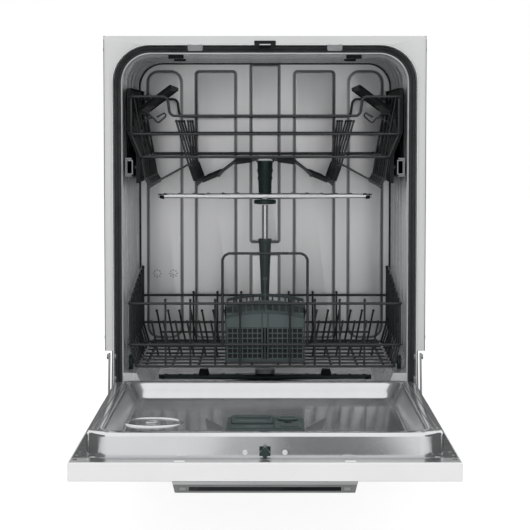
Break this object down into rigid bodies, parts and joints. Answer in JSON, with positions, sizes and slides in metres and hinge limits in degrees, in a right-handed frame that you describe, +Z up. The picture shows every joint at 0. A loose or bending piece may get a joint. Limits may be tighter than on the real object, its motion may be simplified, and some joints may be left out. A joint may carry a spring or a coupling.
{
  "type": "dishwasher",
  "caption": "Built-under dishwasher with a drop-down door, two pull-out wire racks, spray arms, cutlery basket, cup shelves, detergent dispenser and levelling feet.",
  "frame": {"origin": "on the floor under the middle of the whole object, with the door lying open", "axes": "+X to the right seen from the front, +Y from the front to the back, +Z up"},
  "size_m": [0.598, 1.276, 0.818],
  "materials": {
    "painted_white": "satin",
    "frame_paint": "satin",
    "side_paint": "satin",
    "tub_steel": "satin",
    "liner_steel": "satin",
    "back_steel": "satin",
    "arm_steel": "polished",
    "zinc_steel": "matte",
    "gasket_rubber": "matte",
    "rack_coating": "satin",
    "dark_plastic": "matte",
    "green_plastic": "matte",
    "grey_plastic": "matte",
    "console_grey": "satin",
    "black_plastic": "matte",
    "white_plastic": "satin",
    "strip_glass": "gloss",
    "board": "matte",
    "key_metal": "satin"
  },
  "bodies": {
    "cabinet": {"tub_wrap": "tub_steel", "tub_back": "back_steel", "tub_floor": "tub_steel", "front_frame": "frame_paint", "door_gasket": "gasket_rubber", "sill_seal": "gasket_rubber", "side_panel_left": "side_paint", "side_panel_right": "side_paint", "top_plate": "zinc_steel", "back_panel": "zinc_steel", "base_tray": "black_plastic", "kick_plate": "black_plastic", "sump": "black_plastic", "circulation_pump": "dark_plastic", "drain_pump": "dark_plastic", "inlet_valve": "white_plastic", "softener_tank": "white_plastic", "filter_plate": "zinc_steel", "rack_rails": "zinc_steel", "hinge_brackets": "zinc_steel", "latch_striker": "dark_plastic", "cabinet_screws": "zinc_steel", "door_springs": "zinc_steel"},
    "filter": {"filter_cylinder": "grey_plastic"},
    "salt_lid": {"salt_cap": "white_plastic"},
    "lower_arm": {"lower_spray_arm": "arm_steel"},
    "front_left_foot": {"foot_front_left": "dark_plastic"},
    "front_right_foot": {"foot_front_right": "dark_plastic"},
    "rear_foot": {"foot_rear": "dark_plastic"},
    "door": {"door_outer_panel": "painted_white", "door_liner": "liner_steel", "door_console": "console_grey", "display_glass": "strip_glass", "door_latch": "green_plastic", "dispenser_body": "grey_plastic", "hinge_arms": "zinc_steel", "control_board": "board", "lip_plugs": "white_plastic"},
    "detergent_lid": {"dispenser_lid": "grey_plastic"},
    "rinse_lid": {"rinse_cap": "grey_plastic"},
    "power_button": {"power_key": "console_grey"},
    "start_button": {"start_key": "console_grey"},
    "rack_carriage": {"rail_inners": "zinc_steel"},
    "middle_rails": {"rail_middles": "zinc_steel"},
    "upper_rack": {"upper_basket_walls": "rack_coating", "upper_basket_floor": "rack_coating", "rack_adjusters": "dark_plastic", "upper_feed_hub": "green_plastic"},
    "upper_arm": {"upper_spray_arm": "arm_steel"},
    "left_cup_shelf": {"cup_shelf_left": "dark_plastic"},
    "right_cup_shelf": {"cup_shelf_right": "dark_plastic"},
    "lower_rack": {"lower_basket_walls": "rack_coating", "lower_basket_floor": "rack_coating", "spray_tower": "green_plastic"},
    "front_wheel_pair": {"front_wheels": "green_plastic"},
    "rear_wheel_pair": {"rear_wheels": "green_plastic"},
    "cutlery_box": {"cutlery_basket": "grey_plastic"},
    "left_tines": {"tine_row_left": "rack_coating"},
    "right_tines": {"tine_row_right": "rack_coating"},
    "feed_tube": {"tower_tube": "arm_steel"}
  },
  "joints": [
    {"name": "door_hinge", "type": "hinge", "parent": "cabinet", "child": "door", "pos_m": [0, 0.06, 0.118], "axis": [1, 0, 0], "range_deg": [-90, 0]},
    {"name": "filter_turn", "type": "hinge", "parent": "cabinet", "child": "filter", "pos_m": [0.03, 0.324, 0.124], "axis": [0, 0, 1], "range_deg": [0, 45]},
    {"name": "salt_lid_turn", "type": "hinge", "parent": "cabinet", "child": "salt_lid", "pos_m": [-0.17, 0.22, 0.136], "axis": [0, 0, 1], "continuous": true},
    {"name": "lower_arm_spin", "type": "hinge", "parent": "cabinet", "child": "lower_arm", "pos_m": [0, 0.355, 0.15], "axis": [0, 0, 1], "continuous": true},
    {"name": "front_left_foot_thread", "type": "slide", "parent": "cabinet", "child": "front_left_foot", "axis": [0, 0, -1], "range_m": [0, 0.06]},
    {"name": "front_right_foot_thread", "type": "slide", "parent": "cabinet", "child": "front_right_foot", "axis": [0, 0, -1], "range_m": [0, 0.06]},
    {"name": "rear_foot_thread", "type": "slide", "parent": "cabinet", "child": "rear_foot", "axis": [0, 0, -1], "range_m": [0, 0.06]},
    {"name": "detergent_lid_slide", "type": "slide", "parent": "door", "child": "detergent_lid", "axis": [0, -1, 0], "range_m": [0, 0.062]},
    {"name": "rinse_lid_turn", "type": "hinge", "parent": "door", "child": "rinse_lid", "pos_m": [0.038, -0.29, 0.159], "axis": [0, 0, 1], "range_deg": [0, 90]},
    {"name": "power_button_press", "type": "slide", "parent": "door", "child": "power_button", "axis": [0, 1, 0], "range_m": [0, 0.0012], "stiffness_N_per_m": 400},
    {"name": "start_button_press", "type": "slide", "parent": "door", "child": "start_button", "axis": [0, 1, 0], "range_m": [0, 0.0012], "stiffness_N_per_m": 400},
    {"name": "upper_rack_pull", "type": "slide", "parent": "cabinet", "child": "rack_carriage", "axis": [0, -1, 0], "range_m": [0, 0.45]},
    {"name": "middle_rail_pull", "type": "slide", "parent": "cabinet", "child": "middle_rails", "axis": [0, -1, 0], "range_m": [0, 0.225]},
    {"name": "upper_rack_lift", "type": "slide", "parent": "rack_carriage", "child": "upper_rack", "axis": [0, 0, 1], "range_m": [0, 0.022]},
    {"name": "upper_arm_spin", "type": "hinge", "parent": "upper_rack", "child": "upper_arm", "pos_m": [0, 0.355, 0.51], "axis": [0, 0, 1], "continuous": true},
    {"name": "left_shelf_fold", "type": "hinge", "parent": "upper_rack", "child": "left_cup_shelf", "pos_m": [-0.239, 0.35, 0.683], "axis": [0, -1, 0], "range_deg": [0, 45]},
    {"name": "right_shelf_fold", "type": "hinge", "parent": "upper_rack", "child": "right_cup_shelf", "pos_m": [0.239, 0.35, 0.683], "axis": [0, 1, 0], "range_deg": [0, 45]},
    {"name": "lower_rack_pull", "type": "slide", "parent": "cabinet", "child": "lower_rack", "axis": [0, -1, 0], "range_m": [0, 0.5]},
    {"name": "front_wheel_roll", "type": "hinge", "parent": "lower_rack", "child": "front_wheel_pair", "pos_m": [0, 0.192, 0.2003], "axis": [1, 0, 0], "range_deg": [0, 2050]},
    {"name": "rear_wheel_roll", "type": "hinge", "parent": "lower_rack", "child": "rear_wheel_pair", "pos_m": [0, 0.518, 0.2003], "axis": [1, 0, 0], "range_deg": [0, 2050]},
    {"name": "cutlery_box_lift", "type": "slide", "parent": "lower_rack", "child": "cutlery_box", "axis": [0, 0, 1], "range_m": [0, 0.1]},
    {"name": "left_tines_fold", "type": "hinge", "parent": "lower_rack", "child": "left_tines", "pos_m": [0, 0.434, 0.20826], "axis": [-1, 0, 0], "range_deg": [0, 85]},
    {"name": "right_tines_fold", "type": "hinge", "parent": "lower_rack", "child": "right_tines", "pos_m": [0, 0.434, 0.20826], "axis": [-1, 0, 0], "range_deg": [0, 85]},
    {"name": "feed_tube_slide", "type": "slide", "parent": "lower_rack", "child": "feed_tube", "axis": [0, 0, 1], "range_m": [-0.06, 0]}
  ],
  "couplings": [
    {"joint": "middle_rail_pull", "follows": "upper_rack_pull", "ratio": 0.5},
    {"joint": "front_wheel_roll", "follows": "lower_rack_pull", "rad_per_m": 71.429},
    {"joint": "rear_wheel_roll", "follows": "lower_rack_pull", "rad_per_m": 71.429}
  ]
}
